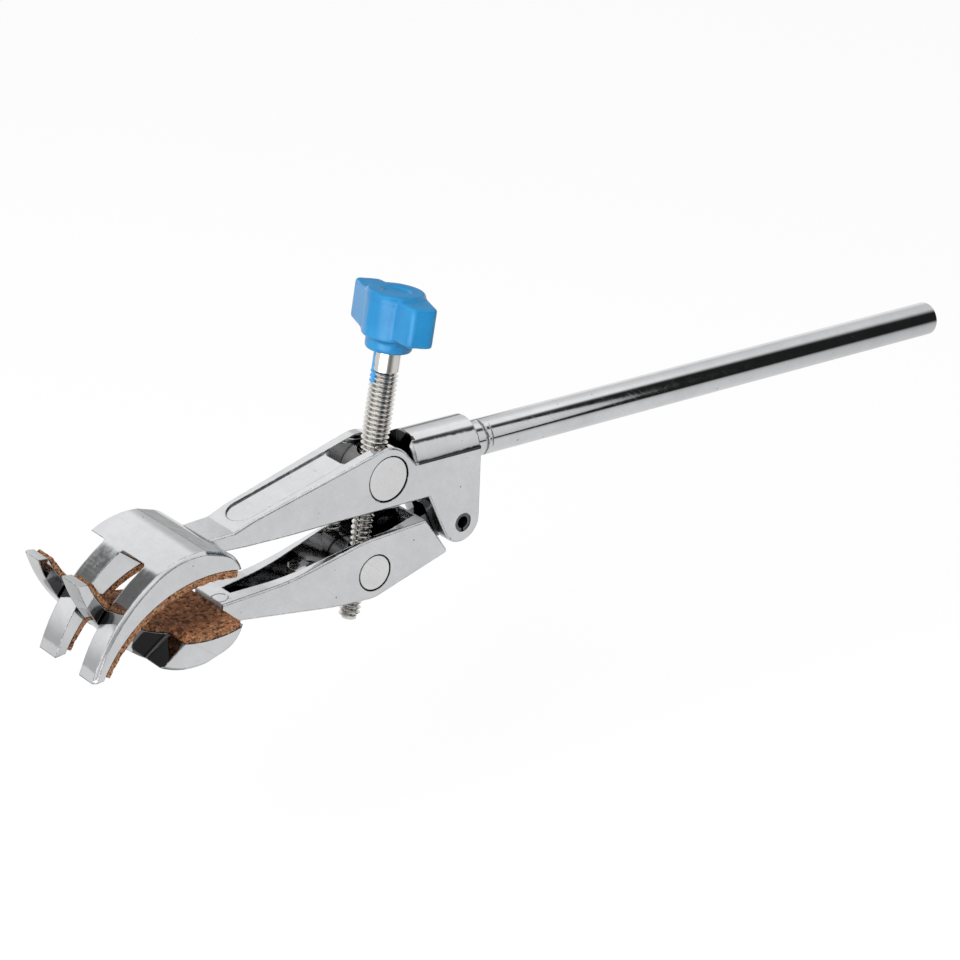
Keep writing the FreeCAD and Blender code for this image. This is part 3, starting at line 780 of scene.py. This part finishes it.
def studio(azimuth, elevation):
    """Brightness of the room in one direction: a side card, a dark gap, a white far side and top."""
    # The near left, then the side card, with a dark low stretch between them and a beam across its top
    level = ramp(elevation, NEAR_LEFT)
    level += (ramp(elevation, SIDE_CARD) - level) * soft(azimuth, -122, -96)
    behind = soft(azimuth, -120, -112) * soft(-azimuth, 74, 80) * soft(-elevation, -44, -38)
    level += (0.14 - level) * behind
    beam = soft(azimuth, -84, -76) * soft(-azimuth, 58, 64)
    level -= 0.42 * beam * soft(elevation, 47.5, 49) * soft(-elevation, -53, -51.5)
    # The dark gap right of the card's edge, and a grey stretch before the far side
    edge = ramp(elevation, CARD_EDGE)
    gap = 0.02 + 0.05 * soft(elevation, 40, 50)
    level += (gap - level) * soft(azimuth, edge - 0.7, edge + 0.7)
    level += (0.42 - level) * soft(azimuth, -24, -13)
    # The far side with its crease, the white left of it with a dimmer horizon, and a dark band there
    level += (ramp(elevation, FAR_SIDE) - level) * soft(azimuth, -18, -4)
    level += (ramp(elevation, CREASE) - level) * soft(azimuth, 50.5, 53.5) * soft(-azimuth, -68, -62)
    white = 1.14 + (ramp(elevation, HORIZON) - 1.14) * soft(azimuth, 104, 116)
    level += (white - level) * soft(azimuth, 62, 68)
    low = ramp(azimuth, DARK_BAND)
    band = soft(elevation, low - 3, low + 1) * soft(-elevation, -(low + 14), -(low + 8))
    level += (0.18 - level) * soft(azimuth, 107, 117) * soft(-azimuth, -172, -152) * band
    # A bright window beyond the jaws, and a brighter ceiling
    window = soft(abs(azimuth), 158, 164) * soft(elevation, -2, 3) * soft(-elevation, -36, -28)
    level += (1.7 - level) * window
    return level * (1 + 0.25 * soft(elevation, 55, 75))


def only_mirrored(thing):
    """Seen in reflections alone."""
    thing.visible_camera = False
    thing.visible_diffuse = False
    thing.visible_shadow = False
    thing.visible_transmission = False


def bare(name):
    """A material with no nodes, and its tree."""
    material = bpy.data.materials.new(name)
    material.use_nodes = True
    material.node_tree.nodes.clear()
    return material, material.node_tree


def mixed(tree, amount, first, second):
    """A mix of two shaders."""
    node = add(tree, "MixShader")
    for socket, value in zip(node.inputs, (amount, first, second)):
        put(tree, socket, value)
    return node.outputs[0]


def matt(tree, level):
    """A matt grey shader."""
    node = add(tree, "BsdfDiffuse")
    node.inputs["Color"].default_value = (level, level, level, 1)
    return node.outputs[0]


def glow_over_matt(tree, colour, strength):
    """Light given off, over a dark matt white that takes shadows."""
    shine = add(tree, "Emission")
    put(tree, shine.inputs["Color"], colour)
    put(tree, shine.inputs["Strength"], strength)
    both = add(tree, "AddShader")
    put(tree, both.inputs[0], shine.outputs[0])
    put(tree, both.inputs[1], matt(tree, FLOOR_MATT))
    return both.outputs[0]


def seen_rays(tree):
    """1 for rays that see: the camera's, mirrored and transmitted ones. 0 for rays that light."""
    path = add(tree, "LightPath").outputs
    most = combine(tree, "MAXIMUM", path["Is Camera Ray"], path["Is Glossy Ray"])
    return combine(tree, "MAXIMUM", most, path["Is Transmission Ray"])


def dome():
    """The room round the clamp, seen only in reflections, with its brightness at each of its corners."""
    work = bmesh.new()
    colour = work.verts.layers.float_color.new("room")
    rings = []
    for j in range(ROOM_UP + 1):
        elevation = ROOM_LOW + (ROOM_HIGH - ROOM_LOW) * j / ROOM_UP
        ring = []
        for i in range(ROOM_AROUND):
            azimuth = -180 + 360 * i / ROOM_AROUND
            vert = work.verts.new(Vector(ROOM_AT) + direction(azimuth, elevation) * ROOM_R)
            value = studio(azimuth, elevation)
            vert[colour] = (value, value, value, 1.0)
            ring.append(vert)
        rings.append(ring)
    for low, high in zip(rings, rings[1:]):
        for i in range(ROOM_AROUND):
            n = (i + 1) % ROOM_AROUND
            work.faces.new([low[i], low[n], high[n], high[i]])
    mesh = bpy.data.meshes.new("studio_room")
    work.to_mesh(mesh)
    work.free()
    material, tree = bare("room_glow")
    shine = add(tree, "Emission")
    put(tree, shine.inputs["Color"], add(tree, "Attribute", attribute_name="room").outputs["Color"])
    put(tree, add(tree, "OutputMaterial").inputs[0], shine.outputs[0])
    mesh.materials.append(material)
    thing = linked("studio_room", mesh)
    only_mirrored(thing)


def sheet(name, level, shader, tree, material):
    """A level white sheet that is seen from above only."""
    seen = mixed(tree, add(tree, "NewGeometry").outputs["Backfacing"], shader,
                 add(tree, "BsdfTransparent").outputs[0])
    put(tree, add(tree, "OutputMaterial").inputs[0], seen)
    mesh = bpy.data.meshes.new(name)
    corners = ((-1, -1), (1, -1), (1, 1), (-1, 1))
    mesh.from_pydata([(SHEET_HALF * x, SHEET_HALF * y, level) for x, y in corners], [], [(0, 1, 2, 3)])
    mesh.materials.append(material)
    thing = linked(name, mesh)
    return thing


def floor():
    """White to the camera and pale grey to the light, below the lower jaw at its widest."""
    material, tree = bare("floor_white")
    seen = glow_over_matt(tree, (1, 1, 1, 1), FLOOR_GLOW)
    sheet("floor", cad_low.z - FLOOR_DROP, mixed(tree, seen_rays(tree), matt(tree, FLOOR_BOUNCE), seen),
          tree, material)


def mirrored_sheet():
    """What the metal mirrors from below: a painted glow, bright at the left and darker to the right, with
    a painted shadow close in front.
    """
    material, tree = bare("sheet_glow")
    place = add(tree, "TexCoord").outputs["Object"]
    x, y = split(tree, place)[:2]
    fade = add(tree, "ValToRGB")
    stops = fade.color_ramp.elements
    for stop, (position, level) in zip(stops, (SHEET_FADE[0], SHEET_FADE[-1])):
        stop.position = position
        stop.color = (level, level, level, 1)
    for position, level in SHEET_FADE[1:-1]:
        stops.new(position).color = (level, level, level, 1)
    put(tree, fade.inputs[0], combine(tree, "ADD", x, combine(tree, "MULTIPLY", y, SHEET_LEAN)))
    # Painted shadow close in front of the arms, painted shadow under the jaws, and a painted glow where the
    # knob and shank mirror it
    front = combine(tree, "MULTIPLY", span(tree, y, *FRONT_EDGE, 1.0, 0.0),
                    span(tree, x, *FRONT_RIGHT, FRONT_SHADOW_DEPTH, 0.0))
    front = combine(tree, "MULTIPLY", front, span(tree, x, *FRONT_LEFT))
    height = cad_low.z - SHEET_DROP
    shade = span(tree, distance(tree, place, (*JAW_SHADE_AT, height)), *JAW_SHADE_REACH, JAW_SHADE, 1.0)
    lit = span(tree, distance(tree, place, (*LIT_PATCH_AT, height)), *LIT_PATCH_REACH, LIT_PATCH, 0.0)
    level = combine(tree, "MULTIPLY", combine(tree, "SUBTRACT", 1.0, front), shade)
    level = combine(tree, "ADD", level, lit)
    thing = sheet("mirrored_sheet", height, glow_over_matt(tree, fade.outputs[0], level), tree, material)
    only_mirrored(thing)


def world():
    """Even light on the clamp, and plain white wherever it is seen."""
    made = bpy.data.worlds.new("studio")
    bpy.context.scene.world = made
    made.use_nodes = True
    tree = made.node_tree
    tree.nodes.clear()
    backs = []
    for strength in (WORLD_LIGHT, 1.0):
        back = add(tree, "Background")
        back.inputs["Color"].default_value = (1, 1, 1, 1)
        back.inputs["Strength"].default_value = strength
        backs.append(back.outputs[0])
    put(tree, add(tree, "OutputWorld").inputs[0], mixed(tree, seen_rays(tree), *backs))


def key_light(azimuth, elevation, away, size, power):
    """A soft round lamp towards the clamp's middle, not seen in reflections."""
    lamp = bpy.data.lights.new("key_soft", "AREA")
    lamp.shape = "DISK"
    lamp.size = size
    lamp.energy = power
    thing = linked("key_soft", lamp)
    towards = direction(azimuth, elevation)
    thing.location = (cad_low + cad_high) / 2 + towards * away
    thing.rotation_mode = "QUATERNION"
    thing.rotation_quaternion = towards.to_track_quat("Z", "Y")
    thing.visible_glossy = False


def camera():
    """The photograph's own view."""
    a, e, r = (math.radians(v) for v in (CAMERA_AZIMUTH, CAMERA_ELEVATION, CAMERA_ROLL))
    back = Vector((math.sin(a) * math.cos(e), -math.cos(a) * math.cos(e), math.sin(e)))
    flat_right = Vector((math.cos(a), math.sin(a), 0))
    flat_up = back.cross(flat_right)
    right = math.cos(r) * flat_right + math.sin(r) * flat_up
    up = -math.sin(r) * flat_right + math.cos(r) * flat_up
    lens = bpy.data.cameras.new("camera")
    lens.lens = LENS
    lens.sensor_width = SENSOR
    lens.clip_start = 0.01
    lens.clip_end = 100.0
    thing = linked("camera", lens)
    turn = Matrix((right, up, back)).transposed()
    thing.matrix_world = Matrix.Translation(Vector(CAMERA_AT) * MM) @ turn.to_4x4()
    bpy.context.scene.camera = thing


dome()
floor()
mirrored_sheet()
world()
key_light(azimuth=-160, elevation=36, away=1.2, size=0.7, power=12.6)
camera()
bpy.context.scene.view_settings.view_transform = "Standard"
